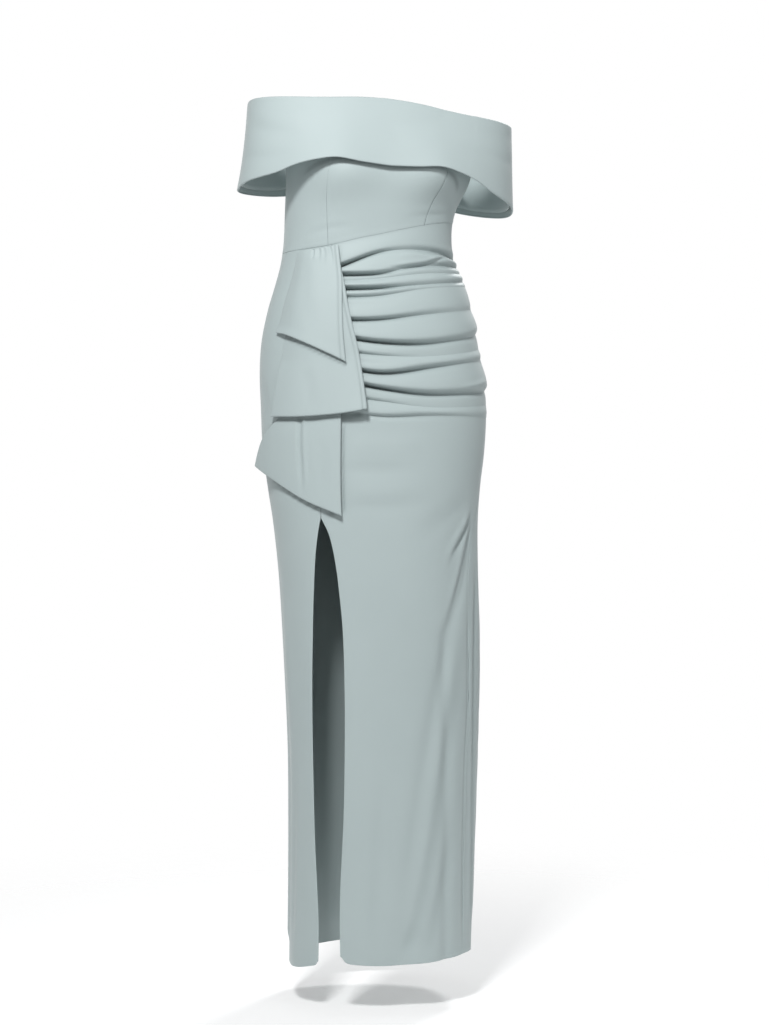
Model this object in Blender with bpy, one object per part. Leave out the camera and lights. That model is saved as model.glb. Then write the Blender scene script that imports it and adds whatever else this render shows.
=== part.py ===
"""Off-the-shoulder column gown with a fold-over collar, a ruched left front and a three-tier hip cascade.

The gown keeps the hollow form that it has when worn. The front faces -Y, +Z is up and +X is the wearer's
left. The origin lies in the middle of the body at underarm height, where the gown is held. Every length
here is in millimetres and every angle in degrees, turned about the body's upright axis: 0 is the centre
front, 90 the wearer's left side and 180 the centre back.
"""

import math
from collections import namedtuple

import bpy
from mathutils import Vector

MM = 0.001

# Cloth and sewing
WALL = 1.6  # heavy crepe
DOUBLE_WALL = 2.2  # self-faced crepe, as in the collar and the cascade
SEAM = 0.3  # between two panels that are sewn edge to edge
LAP = 0.4  # between a piece and the cloth that it is sewn down on

# The hollow form: sections from the neck down to the hem
Section = namedtuple("Section", "z shift_x half_width front back squareness")
SECTIONS = [
    Section(150, 3, 147, 93, 86, 3.1),
    Section(60, 3, 150, 107, 90, 3.0),
    Section(8, 3, 150, 117, 94, 2.5),
    Section(-46, -10, 139, 107, 91, 2.3),
    Section(-101, -15, 136.5, 99, 90, 2.25),
    Section(-135, -12.5, 144, 100, 94, 2.2),
    Section(-169, -9.5, 156, 104, 102, 2.2),
    Section(-210, -10.5, 167, 110, 112, 2.2),
    Section(-260, -10.5, 177, 114, 122, 2.2),
    Section(-310, -7.5, 183, 116, 128, 2.2),
    Section(-370, -3.5, 185, 118, 130, 2.2),
    Section(-438, -3.5, 182, 120, 129, 2.2),
    Section(-500, -3, 174, 121.5, 126, 2.2),
    Section(-562, -0.5, 167, 122, 124, 2.25),
    Section(-650, 3.6, 162, 122, 122, 2.25),
    Section(-800, 7.6, 157, 122, 121, 2.3),
    Section(-950, 10, 151, 124, 124, 2.3),
    Section(-1100, 8.5, 148, 127, 130, 2.3),
    Section(-1290, 4.8, 146, 130, 137, 2.3),
]
CUP_ANGLE = 34
CUP_Z = 2
CUP_DEPTH = 11
CUP_WIDTH = 19  # degrees
CUP_HEIGHT = 40
NORMAL_STEP = 1.5  # half the spacing, in degrees and in millimetres, at which the form's slope is read
SHOULDER_TILT = 0.0757  # the top of the gown falls this much towards the wearer's left
NECKLINE_Z = 60  # reference heights, at which a panel's width is read
WAIST_Z = -100
RUCHING_Z = -250
HEM_Z = -1265

# Seams that run down the body, as the angle at each height
Seam = namedtuple("Seam", "z angle")
PRINCESS_SEAM = [Seam(140, 38), Seam(6, 41), Seam(-40, 42), Seam(-103, 41.5), Seam(-125, 41)]
LEFT_SIDE_SEAM = [
    Seam(60, 90), Seam(-400, 90), Seam(-455, 85.5), Seam(-520, 75), Seam(-590, 65),
    Seam(-680, 60.5), Seam(-840, 60.5), Seam(-960, 57.5), Seam(-1100, 56), Seam(-1290, 57),
]
SLIT_TOP_Z = -550
FRONT_SEAM = [
    Seam(-80, -38.7), Seam(-114, -38.7), Seam(-329, -40.3), Seam(-470, -43.2), Seam(SLIT_TOP_Z, -45.6),
]
Slit = namedtuple("Slit", "z right left")  # the angles of its two edges, on the wearer's right and left
SLIT = [
    Slit(SLIT_TOP_Z, -45.6, -45.6), Slit(-576, -48, -41.2), Slit(-617, -50.8, -38.3),
    Slit(-674, -53, -36.2), Slit(-735, -54.5, -34.7), Slit(-833, -56.3, -34.4),
    Slit(-937, -57.2, -35), Slit(-1048, -55.8, -35.5), Slit(-1138, -53.1, -36.5),
    Slit(-1200, -51.2, -36.3), Slit(-1290, -50.8, -34.5),
]

# Edges that run round the body, as the height at each angle
Edge = namedtuple("Edge", "angle z")
WAIST_SEAM = [
    Edge(-180, -90), Edge(-150, -103), Edge(-120, -113), Edge(-90, -117), Edge(-64, -116.4),
    Edge(-48, -113.7), Edge(-36, -109.7), Edge(-15, -100.3), Edge(3.4, -93.4), Edge(21, -86),
    Edge(43, -75.8), Edge(57, -70), Edge(71, -65.5), Edge(90, -62.5), Edge(120, -67), Edge(150, -78),
    Edge(180, -90),
]
BODICE_TOP = [
    Edge(-180, 60), Edge(-140, 56), Edge(-112, 34), Edge(-90, 18), Edge(-68, 36), Edge(-42, 66),
    Edge(0, 70), Edge(42, 66), Edge(68, 36), Edge(90, 18), Edge(112, 34), Edge(140, 56), Edge(180, 60),
]
HEM = [
    Edge(-180, -1268), Edge(-120, -1278), Edge(-92, -1281), Edge(-70, -1277), Edge(-57, -1270),
    Edge(-53, -1267), Edge(-50.8, -1260), Edge(-35, -1250), Edge(-31.5, -1259), Edge(-26, -1262),
    Edge(0, -1264), Edge(45, -1260), Edge(70, -1257), Edge(90, -1257), Edge(140, -1264), Edge(180, -1268),
]

# Pleats of the ruched panel. Each row is the crease below one pleat: its height at four places round the
# panel, and how far the pleat above it stands out there.
Pleat = namedtuple(
    "Pleat", "seam_z front_z quarter_z side_z seam_depth front_depth quarter_depth side_depth"
)
PLEAT_PLACES = {"seam": -40, "front": 0, "quarter": 40, "side": 90}
Station = namedtuple("Station", "angle value")
PLEATS = [
    Pleat(-150, -124, -117.5, -127, 4.2, 3.2, 2.4, 1.6),
    Pleat(-162, -154, -141, -137, 4.6, 4.2, 3.0, 2.0),
    Pleat(-171, -163, -154, -147, 0.6, 0.9, 2.6, 1.6),
    Pleat(-184, -180, -170, -157, 4.6, 3.8, 2.8, 2.2),
    Pleat(-198, -193, -179, -167, 2.8, 2.0, 1.4, 1.2),
    Pleat(-234, -231, -221, -203, 4.8, 4.4, 2.8, 0.8),
    Pleat(-257, -268.5, -267.5, -244, 5.0, 5.8, 5.2, 4.8),
    Pleat(-280, -290, -289, -268, 3.8, 2.8, 0.8, 0.4),
    Pleat(-305, -318, -308, -286, 4.8, 5.6, 4.4, 1.4),
    Pleat(-326, -344.5, -351.5, -340, 5.2, 6.4, 6.4, 6.0),
    Pleat(-350, -364, -372, -362, 3.4, 2.6, 1.0, 0.6),
    Pleat(-374, -391, -388, -386, 1.8, 2.0, 1.8, 0.8),
]
PLEAT_SWELL = (0.4, 0.75, 1.0)  # rows between the crease above a pleat and its crest
PLEAT_FULLNESS = 1.4  # above 1, a pleat stays flat for longer below the crease above it
PLEAT_TURN = 5.5  # height in which a pleat turns under, from its crest down to its crease
SEAM_FLATTENS = 9  # degrees over which the pleats sink to the seam that holds them
RUCHING_END_Z = -400  # below this height all skirt panels share their rows
ROWS_SPREAD = 1.15  # above 1, those rows lie closer together at their top

# Long soft folds of the skirt, from the left hip down to the hem
Fold = namedtuple("Fold", "top_angle top_z low_angle low_z bow depth width")
FOLD_WIDENS = (0.55, 1.3)  # a fold's width at its top and at its foot, as shares of the given width
FOLD_FADES_IN = 1 / 3  # the share of its length over which it reaches its full depth
SKIRT_FOLDS = [
    Fold(64, -560, 40, -740, -5, -3.0, 3.4),
    Fold(61, -600, 8, -1262, 9, -5.0, 6.5),
    Fold(66, -640, 27, -1262, 10, 3.5, 6.0),
    Fold(76, -470, 68, -1262, 0, 4.0, 6.0),
    Fold(138, -520, 128, -1275, 0, 6.0, 9.0),
    Fold(-142, -560, -134, -1275, 0, 6.0, 9.0),
    Fold(-80, -560, -74, -1275, 0, 3.0, 8.0),
]

# The hip cascade: three tiers, given by their outlines
Outline = namedtuple("Outline", "left right bottom top")
Corner = namedtuple("Corner", "angle z")
TIERS = {
    "upper": Outline(
        left=[Corner(-66, -119), Corner(-68.5, -185), Corner(-70, -252)],
        right=[Corner(-33, -112), Corner(-31.6, -160), Corner(-29.4, -212), Corner(-27.7, -276),
               Corner(-27.2, -302)],
        bottom=[Corner(-70, -252), Corner(-61.6, -258), Corner(-35, -292), Corner(-27.2, -302)],
        top=[Corner(-66, -119), Corner(-50, -117), Corner(-33, -112)],
    ),
    "middle": Outline(
        left=[Corner(-61, -121), Corner(-63, -190), Corner(-65, -265), Corner(-72, -386.5)],
        right=[Corner(-34, -113), Corner(-32, -150), Corner(-27.9, -189), Corner(-22.8, -233.5),
               Corner(-18, -282), Corner(-14.6, -377)],
        bottom=[Corner(-72, -386.5), Corner(-55, -388), Corner(-39, -385.5), Corner(-27.7, -382.5),
                Corner(-14.6, -377)],
        top=[Corner(-61, -121), Corner(-48, -118.5), Corner(-34, -113)],
    ),
    "lower": Outline(
        left=[Corner(-59, -348), Corner(-68, -385), Corner(-82, -422), Corner(-89, -463)],
        right=[Corner(-33, -352), Corner(-32, -390), Corner(-31.8, -455), Corner(-31.7, -547)],
        bottom=[Corner(-89, -463), Corner(-80, -476), Corner(-54.6, -520), Corner(-31.7, -547)],
        top=[Corner(-59, -348), Corner(-46, -350), Corner(-33, -352)],
    ),
}
TIER_CELLS = 12
# How far each tier stands off the form, at several places down it and three across
Lift = namedtuple("Lift", "share left middle right")
TIER_LIFTS = {
    "upper": [
        Lift(0.0, 2.6, 5.2, 5.2), Lift(0.1, 2.6, 9.5, 9.9), Lift(0.3, 2.4, 13.0, 13.2),
        Lift(0.6, 2.2, 14.2, 14.0), Lift(1.0, 2.2, 15.5, 15.5),
    ],
    "middle": [
        Lift(0.0, 2.1, 2.1, 2.4), Lift(0.07, 2.1, 4.5, 6.6), Lift(0.2, 2.1, 8.6, 9.6),
        Lift(0.65, 2.1, 10.6, 10.8), Lift(0.72, 5.6, 11.5, 12.0), Lift(1.0, 8.5, 14.0, 19.0),
    ],
    "lower": [
        Lift(0.0, 2.1, 2.4, 7.0), Lift(0.15, 2.3, 3.6, 7.2), Lift(0.4, 3.6, 5.0, 7.6),
        Lift(0.7, 9.0, 5.0, 8.4), Lift(1.0, 19.0, 6.0, 9.5),
    ],
}
TIER_EDGE_ROLL = 0.2  # the share of a tier's width over which its left edge rolls down to the skirt

# The fold-over collar, a band round the bust and both upper arms
COLLAR_CENTRE_X = 3
COLLAR_SLOT = 3  # between the outer flap and the leg inside it
LEG_STANDOFF = WALL + LAP + 0.4  # along a radius, which crosses the bodice's wall at a slant
LEG_SWINGS_OUT = 8  # the leg leaves the bodice where the flap lies more than this outside it
LEG_LEAVES_Z = 72  # and above this height, on its way up to the fold
LEG_RISE = 40
FLAP_CELLS, LEG_CELLS, FOLD_CELLS = 5, 4, 4
Band = namedtuple("Band", "share right_width left_width front back squareness")
COLLAR_BANDS = [
    Band(0.0, 213, 220.5, 103, 95, 2.5),
    Band(0.35, 217, 221, 111, 100, 2.5),
    Band(0.7, 223, 221.5, 121, 106, 2.45),
    Band(1.0, 230.5, 222.5, 128, 110, 2.4),
]
COLLAR_CUP_DEPTH = 7
COLLAR_BLEND = 0.5  # how softly the flap is lifted off the leg where the two come close
CollarEdge = namedtuple("CollarEdge", "angle top bottom leg_bottom")
COLLAR_EDGES = [
    CollarEdge(0, 124, 12, 46), CollarEdge(20, 122.5, 14.5, 46), CollarEdge(34, 120, 18, 46),
    CollarEdge(45, 117.2, 12, 40), CollarEdge(54, 115.4, 3, 26), CollarEdge(63, 114.6, -11, 6),
    CollarEdge(75, 114.5, -21, -10), CollarEdge(90, 115, -30, -20), CollarEdge(115, 114, -24, -14),
    CollarEdge(140, 113, -6, 12), CollarEdge(160, 112.5, 2, 26), CollarEdge(180, 112, 4, 30),
]

# The closed concealed zip, a narrow strip behind the centre back seam
ZIP_HALF_WIDTH = 11
ZIP_WALL = 1.2
ZIP_TOP_Z = 36
ZIP_BOTTOM_Z = -330
ZIP_GAP = 0.9
ZIP_CELLS = (4, 16)

CREPE = (0.545, 0.635, 0.625)
ZIP_TAPE = (0.46, 0.55, 0.54)


def read(table, key, column, at):
    """The value of a column at a place between a table's rows, on a smooth curve through them."""
    rows = sorted(table, key=lambda row: getattr(row, key))
    keys = [getattr(row, key) for row in rows]
    values = [getattr(row, column) for row in rows]
    if at <= keys[0]:
        return values[0]
    if at >= keys[-1]:
        return values[-1]
    low = max(i for i in range(len(keys) - 1) if keys[i] <= at)

    def slope(i):
        before, after = max(i - 1, 0), min(i + 1, len(keys) - 1)
        return (values[after] - values[before]) / (keys[after] - keys[before])

    span = keys[low + 1] - keys[low]
    s = (at - keys[low]) / span
    return (
        (2 * s**3 - 3 * s**2 + 1) * values[low]
        + (s**3 - 2 * s**2 + s) * span * slope(low)
        + (3 * s**2 - 2 * s**3) * values[low + 1]
        + (s**3 - s**2) * span * slope(low + 1)
    )


def mix(a, b, share):
    return a + (b - a) * share


def smooth_step(share):
    share = min(max(share, 0.0), 1.0)
    return share * share * (3 - 2 * share)


def oval_radius(angle, width, depth, squareness):
    """The distance from an oval's middle to its line, in one direction."""
    across = abs(math.sin(math.radians(angle))) / width
    along = abs(math.cos(math.radians(angle))) / depth
    return (across**squareness + along**squareness) ** (-1 / squareness)


def cups(angle, z, depth):
    """The fullness of the two bust cups."""
    rise = math.exp(-(((z - CUP_Z) / CUP_HEIGHT) ** 2))
    return sum(
        depth * rise * math.exp(-(((angle - side * CUP_ANGLE) / CUP_WIDTH) ** 2)) for side in (-1, 1)
    )


def form_radius(angle, z):
    section = {c: read(SECTIONS, "z", c, z) for c in Section._fields[2:]}
    depth = section["front"] if abs(angle) < 90 else section["back"]
    return oval_radius(angle, section["half_width"], depth, section["squareness"]) + cups(
        angle, z, CUP_DEPTH
    )


def form_point(angle, z):
    radius = form_radius(angle, z)
    turn = math.radians(angle)
    return Vector(
        (read(SECTIONS, "z", "shift_x", z) + radius * math.sin(turn), -radius * math.cos(turn), z)
    )


def form_normal(angle, z):
    step = NORMAL_STEP
    round_it = form_point(angle + step, z) - form_point(angle - step, z)
    up_it = form_point(angle, z + step) - form_point(angle, z - step)
    return round_it.cross(up_it).normalized()


def across_pleat(pleat, what, angle):
    """The height ("z") of the crease below a pleat, or the pleat's "depth", at one angle."""
    stations = [Station(at, getattr(pleat, f"{place}_{what}")) for place, at in PLEAT_PLACES.items()]
    return read(stations, "angle", "value", angle)


def fold_offset(angle, z):
    """How far the skirt's long soft folds push the cloth out or let it fall in."""
    total = 0.0
    for fold in SKIRT_FOLDS:
        share = (z - fold.top_z) / (fold.low_z - fold.top_z)
        if share <= 0:
            continue
        share = min(share, 1.0)
        path = mix(fold.top_angle, fold.low_angle, share) - fold.bow * math.sin(math.pi * share)
        width = fold.width * mix(*FOLD_WIDENS, share)
        fade = smooth_step(share / FOLD_FADES_IN)
        total += fold.depth * fade * math.exp(-(((angle - path) / width) ** 2))
    return total


def patch(left, right, bottom, top):
    """A place (angle, z) for each (u, v), spread evenly between four edges given as functions of 0 to 1."""

    def place(u, v):
        corner = [
            mix(mix(bottom(0)[k], bottom(1)[k], u), mix(top(0)[k], top(1)[k], u), v) for k in (0, 1)
        ]
        return tuple(
            mix(bottom(u)[k], top(u)[k], v) + mix(left(v)[k], right(v)[k], u) - corner[k] for k in (0, 1)
        )

    return place


def skins_at(angle, z, out, wall):
    """The inner and the outer point of a wall whose inner face lies out from the form."""
    base, normal = form_point(angle, z), form_normal(angle, z)
    return base + normal * out, base + normal * (out + wall)


def wall_mesh(name, columns):
    """A closed solid from columns of (inner point, outer point) pairs, left to right and bottom to top."""
    count, rows = len(columns), len(columns[0])
    points = [pair[skin] * MM for skin in (0, 1) for column in columns for pair in column]

    def index(skin, column, row):
        return (skin * count + column) * rows + row

    def length(a, b):
        return (columns[a[0]][a[1]][1] - columns[b[0]][b[1]][1]).length

    faces = []
    for i in range(count - 1):
        for j in range(rows - 1):
            a, b, c, d = (i, j), (i + 1, j), (i + 1, j + 1), (i, j + 1)
            halves = ((a, b, c), (a, c, d)) if length(a, c) <= length(b, d) else ((a, b, d), (b, c, d))
            for half in halves:
                faces.append([index(1, *corner) for corner in half])
                faces.append([index(0, *corner) for corner in reversed(half)])
    rim = (
        [(i, 0) for i in range(count)]
        + [(count - 1, j) for j in range(1, rows)]
        + [(i, rows - 1) for i in range(count - 2, -1, -1)]
        + [(0, j) for j in range(rows - 2, 0, -1)]
    )
    for here, there in zip(rim, rim[1:] + rim[:1]):
        faces.append([index(0, *here), index(0, *there), index(1, *there), index(1, *here)])
    mesh = bpy.data.meshes.new(name)
    mesh.from_pydata(points, [], faces)
    return mesh


def add_piece(name, columns, colour=CREPE, roughness=0.75):
    """One named object with its own material, from the columns of its wall."""
    mesh = wall_mesh(name, columns)
    mesh.shade_smooth()
    mesh.set_sharp_from_angle(angle=math.radians(40))
    material = bpy.data.materials.new(name)
    material.use_nodes = True
    shader = material.node_tree.nodes["Principled BSDF"]
    shader.inputs["Base Color"].default_value = (*colour, 1)
    shader.inputs["Roughness"].default_value = roughness
    shader.inputs["Metallic"].default_value = 0
    mesh.materials.append(material)
    bpy.context.scene.collection.objects.link(bpy.data.objects.new(name, mesh))


def even(count):
    return [j / count for j in range(count + 1)]


def seam_inset(z, angle):
    """Half a seam's gap, as an angle."""
    return math.degrees(SEAM / 2 / form_radius(angle, z))


def upright(angle):
    return lambda z: angle


def princess_seam(z):
    return read(PRINCESS_SEAM, "z", "angle", z)


def right_princess_seam(z):
    return -princess_seam(z)


def left_side_seam(z):
    return read(LEFT_SIDE_SEAM, "z", "angle", z)


def front_seam(side):
    """The front seam, and below it the slit's edge on one side."""

    def angle_at(z):
        if z > SLIT_TOP_Z:
            return read(FRONT_SEAM, "z", "angle", z)
        return read(SLIT, "z", side, z)

    return angle_at


def seam_edge(seam, bottom_z, top_z, inset):
    """A panel's edge along a seam, from its bottom at 0 to its top at 1."""

    def edge(v):
        z = mix(bottom_z, top_z, v)
        return seam(z) + inset * seam_inset(z, seam(z)), z

    return edge


def bodice_panel(name, start_seam, end_seam, columns, rows=9):
    """One bodice panel between two seams, from the waist seam up to the neckline."""

    def bottom(u):
        angle = mix(start_seam(WAIST_Z), end_seam(WAIST_Z), u)
        return angle, read(WAIST_SEAM, "angle", "z", angle) + SEAM / 2

    def top(u):
        angle = mix(start_seam(NECKLINE_Z), end_seam(NECKLINE_Z), u)
        z = read(BODICE_TOP, "angle", "z", angle)
        return angle, z - SHOULDER_TILT * form_point(angle, z).x

    left = seam_edge(start_seam, bottom(0)[1], top(0)[1], 1)
    right = seam_edge(end_seam, bottom(1)[1], top(1)[1], -1)
    place = patch(left, right, bottom, top)
    wall = [[skins_at(*place(u, v), 0, WALL) for v in even(rows)] for u in even(columns)]
    add_piece(name, wall)


def make_bodice():
    bodice_panel("bodice_front_centre", right_princess_seam, princess_seam, 12)
    bodice_panel("bodice_side_front_left", princess_seam, upright(90), 8)
    bodice_panel("bodice_side_front_right", upright(-90), right_princess_seam, 8)
    bodice_panel("bodice_back_left", upright(90), upright(180), 11)
    bodice_panel("bodice_back_right", upright(-180), upright(-90), 11)


def plain_rows(angle, waist_z, count=9):
    return [(mix(waist_z, RUCHING_END_Z, share), 0.0) for share in even(count)]


def ruched_rows(angle, waist_z):
    """Heights down the ruched panel at one angle, with how far out the cloth lies at each."""
    held = smooth_step((angle - front_seam("left")(RUCHING_Z)) / SEAM_FLATTENS)
    held *= smooth_step((left_side_seam(RUCHING_Z) - angle) / SEAM_FLATTENS)
    rows = [(waist_z, 0.0)]
    above = waist_z
    for pleat in PLEATS:
        below = across_pleat(pleat, "z", angle)
        crest = below + min(PLEAT_TURN, 0.45 * (above - below))
        depth = held * across_pleat(pleat, "depth", angle)
        for share in PLEAT_SWELL:
            rows.append((mix(above, crest, share), depth * math.sin(math.pi / 2 * share) ** PLEAT_FULLNESS))
        rows.append((below, 0.0))
        above = below
    return rows + [(RUCHING_END_Z, 0.0)]


def skirt_panel(name, start_seam, end_seam, columns, upper_rows=plain_rows, lower_count=15):
    """One skirt panel between two seams, from the waist seam down to the hem."""
    wall = []
    for u in even(columns):

        def angle_at(z):
            start, end = start_seam(z), end_seam(z)
            return mix(start + seam_inset(z, start), end - seam_inset(z, end), u)

        waist_z = read(WAIST_SEAM, "angle", "z", angle_at(WAIST_Z)) - SEAM / 2
        hem_z = read(HEM, "angle", "z", angle_at(HEM_Z))
        rows = upper_rows(angle_at(RUCHING_Z), waist_z)
        rows += [(mix(RUCHING_END_Z, hem_z, share**ROWS_SPREAD), 0.0) for share in even(lower_count)[1:]]
        column = [skins_at(angle_at(z), z, out + fold_offset(angle_at(z), z), WALL) for z, out in rows]
        wall.append(column[::-1])
    add_piece(name, wall)


def make_skirt():
    skirt_panel("skirt_front_left_ruched", front_seam("left"), left_side_seam, 18, ruched_rows)
    skirt_panel("skirt_front_right", upright(-90), front_seam("right"), 8)
    skirt_panel("skirt_back_left", left_side_seam, upright(180), 12)
    skirt_panel("skirt_back_right", upright(-180), upright(-90), 11)


def polyline(corners):
    """A smooth edge through corners, as a function of 0 to 1."""
    Step = namedtuple("Step", "share angle z")
    lengths = [0.0]
    for a, b in zip(corners, corners[1:]):
        lengths.append(lengths[-1] + math.hypot((b.angle - a.angle) * 2, b.z - a.z))
    steps = [Step(so_far / lengths[-1], c.angle, c.z) for so_far, c in zip(lengths, corners)]
    return lambda share: (read(steps, "share", "angle", share), read(steps, "share", "z", share))


def tier_lift(lifts, u, down):
    """A tier's left edge rolls down to the cloth below it, and the rest stands off."""
    left, middle, right = (read(lifts, "share", side, down) for side in ("left", "middle", "right"))
    if u < TIER_EDGE_ROLL:
        return mix(left, middle, math.sin(math.pi / 2 * u / TIER_EDGE_ROLL))
    return mix(middle, right, smooth_step((u - TIER_EDGE_ROLL) / (1 - TIER_EDGE_ROLL)))


def make_cascade():
    for name, outline in TIERS.items():
        left_down, right_down = polyline(outline.left), polyline(outline.right)
        place = patch(
            lambda v, edge=left_down: edge(1 - v),
            lambda v, edge=right_down: edge(1 - v),
            polyline(outline.bottom),
            polyline(outline.top),
        )
        lifts = TIER_LIFTS[name]
        cells = even(TIER_CELLS)
        wall = [
            [skins_at(*place(u, v), tier_lift(lifts, u, 1 - v), DOUBLE_WALL) for v in cells] for u in cells
        ]
        add_piece(f"cascade_tier_{name}", wall)


def collar_flap_radius(angle, share):
    """The inner face of the collar's outer flap, from its fold at 0 to its lower edge at 1."""
    band = {c: read(COLLAR_BANDS, "share", c, share) for c in Band._fields[1:]}
    width = band["left_width"] if angle > 0 else band["right_width"]
    depth = band["front"] if abs(angle) < 90 else band["back"]
    radius = oval_radius(angle, width, depth, band["squareness"])
    return radius + share**2 * cups(angle, CUP_Z, COLLAR_CUP_DEPTH)


def larger(a, b, blend):
    """The larger of two lengths, with a soft turn from one to the other."""
    return (a + b + math.sqrt((a - b) ** 2 + blend**2)) / 2


def collar_profile(angle):
    """The collar's section at one angle: pairs of (radius, z) up the flap, over the fold and down the leg."""
    edge = {c: read(COLLAR_EDGES, "angle", c, abs(angle)) for c in CollarEdge._fields[1:]}
    tilt = SHOULDER_TILT * collar_flap_radius(angle, 0.5) * math.sin(math.radians(angle))
    top, bottom, leg_bottom = (edge[c] - tilt for c in ("top", "bottom", "leg_bottom"))
    fold_radius = DOUBLE_WALL + COLLAR_SLOT / 2
    spring = top - fold_radius

    def flap(share):
        z = mix(spring, bottom, share)
        return larger(collar_flap_radius(angle, share), leg(z) + DOUBLE_WALL + COLLAR_SLOT, COLLAR_BLEND), z

    def leg(z):
        on_bodice = form_radius(angle, z) + LEG_STANDOFF
        beside = collar_flap_radius(angle, (spring - z) / (spring - bottom)) - COLLAR_SLOT - DOUBLE_WALL
        swing = max(beside - on_bodice, 0)
        freed = max(smooth_step(swing / LEG_SWINGS_OUT - 1), smooth_step((z - LEG_LEAVES_Z) / LEG_RISE))
        return on_bodice + swing * freed

    flap_in = [flap(share) for share in even(FLAP_CELLS)]
    leg_heights = [mix(spring, leg_bottom, share) for share in even(LEG_CELLS)]
    leg_in = [(leg(z), z) for z in leg_heights]
    middle = (flap_in[0][0] + leg_in[0][0] + DOUBLE_WALL) / 2
    half_slot = (flap_in[0][0] - leg_in[0][0] - DOUBLE_WALL) / 2
    outer_arch, inner_arch = [], []
    for k in range(1, FOLD_CELLS):
        turn = math.pi * k / FOLD_CELLS
        for arch, wall, rise in ((outer_arch, DOUBLE_WALL, fold_radius), (inner_arch, 0, COLLAR_SLOT / 2)):
            arch.append((middle + (half_slot + wall) * math.cos(turn), spring + rise * math.sin(turn)))
    inner_skin = flap_in[::-1] + inner_arch + [(r + DOUBLE_WALL, z) for r, z in leg_in]
    outer_skin = [(r + DOUBLE_WALL, z) for r, z in flap_in[::-1]] + outer_arch + leg_in
    return list(zip(inner_skin, outer_skin))


def collar_piece(name, start, end, columns):
    """A stretch of the folded collar between two angles, spaced halfway between equal turns and lengths."""
    wall, oval = [], COLLAR_BANDS[1]
    for u in even(columns):
        turn = math.radians(mix(start, end, u))
        stretched = math.atan2(oval.left_width * math.sin(turn), oval.front * math.cos(turn))
        angle = math.degrees(mix(turn, stretched, 0.5))
        if u in (0, 1):
            angle = start if u == 0 else end
            inset = math.degrees(SEAM / 2 / collar_flap_radius(angle, 0.5))
            angle += inset if u == 0 else -inset
        sine, cosine = math.sin(math.radians(angle)), math.cos(math.radians(angle))
        wall.append(
            [
                tuple(Vector((COLLAR_CENTRE_X + r * sine, -r * cosine, z)) for r, z in pair)
                for pair in collar_profile(angle)
            ]
        )
    add_piece(name, wall)


def make_collar():
    collar_piece("collar_front", -90, 90, 34)
    collar_piece("collar_back_left", 90, 180, 14)
    collar_piece("collar_back_right", -180, -90, 14)


def make_zip():
    """The closed zip's tape, which lies inside along the centre back seam."""
    wall = []
    for u in even(ZIP_CELLS[0]):
        column = []
        for v in even(ZIP_CELLS[1]):
            z = mix(ZIP_BOTTOM_Z, ZIP_TOP_Z, v)
            half_angle = math.degrees(ZIP_HALF_WIDTH / form_radius(180, z))
            angle = 180 + mix(-half_angle, half_angle, u)
            column.append(skins_at(angle, z, -ZIP_GAP - ZIP_WALL, ZIP_WALL))
        wall.append(column)
    add_piece("back_zip", wall, ZIP_TAPE)


def main():
    for old in list(bpy.data.objects):
        bpy.data.objects.remove(old)
    make_bodice()
    make_skirt()
    make_cascade()
    make_collar()
    make_zip()


main()
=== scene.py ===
# Column gown in pale sage crepe: its cloth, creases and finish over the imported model
import math
import bpy
import bmesh
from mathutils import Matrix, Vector


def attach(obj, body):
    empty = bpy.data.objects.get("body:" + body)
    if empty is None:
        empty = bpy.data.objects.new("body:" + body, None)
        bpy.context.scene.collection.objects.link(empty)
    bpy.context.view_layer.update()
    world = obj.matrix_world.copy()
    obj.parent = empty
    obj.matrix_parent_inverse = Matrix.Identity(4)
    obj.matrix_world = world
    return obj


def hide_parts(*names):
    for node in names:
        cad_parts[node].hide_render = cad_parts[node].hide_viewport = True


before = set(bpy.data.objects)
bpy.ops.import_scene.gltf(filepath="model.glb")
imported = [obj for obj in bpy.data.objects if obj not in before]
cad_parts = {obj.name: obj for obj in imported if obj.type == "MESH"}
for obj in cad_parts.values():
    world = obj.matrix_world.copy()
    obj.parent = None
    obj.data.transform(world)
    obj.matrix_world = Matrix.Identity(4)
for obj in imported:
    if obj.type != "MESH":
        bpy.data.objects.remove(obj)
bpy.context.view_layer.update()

mm = 0.001
print("packed model loaded")


def mix(a, b, share):
    return a + (b - a) * share


def smoothStep(share):
    share = min(max(share, 0.0), 1.0)
    return share * share * (3 - 2 * share)


def hump(distance, width):
    return math.exp(-((distance / width) ** 2))


def curveThrough(rows, column=1):
    # a smooth curve through one column of a table, level past both ends
    rows = sorted(rows)
    keys = [row[0] for row in rows]
    values = [row[column] for row in rows]
    last = len(rows) - 1
    slopes = []
    for i in range(last + 1):
        low, high = max(i - 1, 0), min(i + 1, last)
        slopes.append((values[high] - values[low]) / (keys[high] - keys[low]))

    def at(place):
        if place <= keys[0]:
            return values[0]
        if place >= keys[-1]:
            return values[-1]
        i = 0
        while keys[i + 1] <= place:
            i += 1
        span = keys[i + 1] - keys[i]
        s = (place - keys[i]) / span
        return (
            (2 * s**3 - 3 * s**2 + 1) * values[i]
            + (s**3 - 2 * s**2 + s) * span * slopes[i]
            + (3 * s**2 - 2 * s**3) * values[i + 1]
            + (s**3 - s**2) * span * slopes[i + 1]
        )

    return at


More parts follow.
